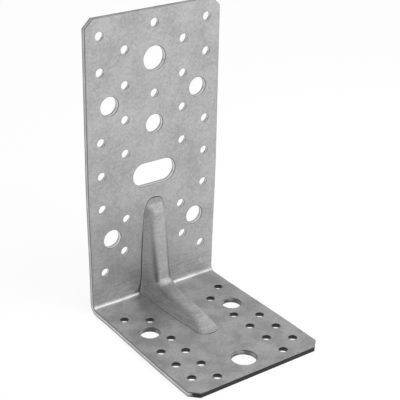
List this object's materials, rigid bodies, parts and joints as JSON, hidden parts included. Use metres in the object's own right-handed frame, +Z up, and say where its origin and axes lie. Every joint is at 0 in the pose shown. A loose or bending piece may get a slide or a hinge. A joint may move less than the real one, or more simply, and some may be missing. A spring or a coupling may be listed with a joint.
{
  "type": "angle bracket",
  "caption": "Reinforced steel angle bracket, folded from one perforated sheet, with a hollow pressed rib across the bend, nail and bolt holes and a slot.",
  "frame": {"origin": "middle of the outer box, on the plane that the base rests on", "axes": "+Z up along the upright leg, +X across the width, +Y from the free edge of the base towards the back face of the upright leg"},
  "size_m": [0.0864, 0.1036, 0.1745],
  "materials": {
    "galvanised_steel": "hot-dip galvanised, dull"
  },
  "bodies": {
    "root": {"bracket": "galvanised_steel"}
  },
  "joints": []
}
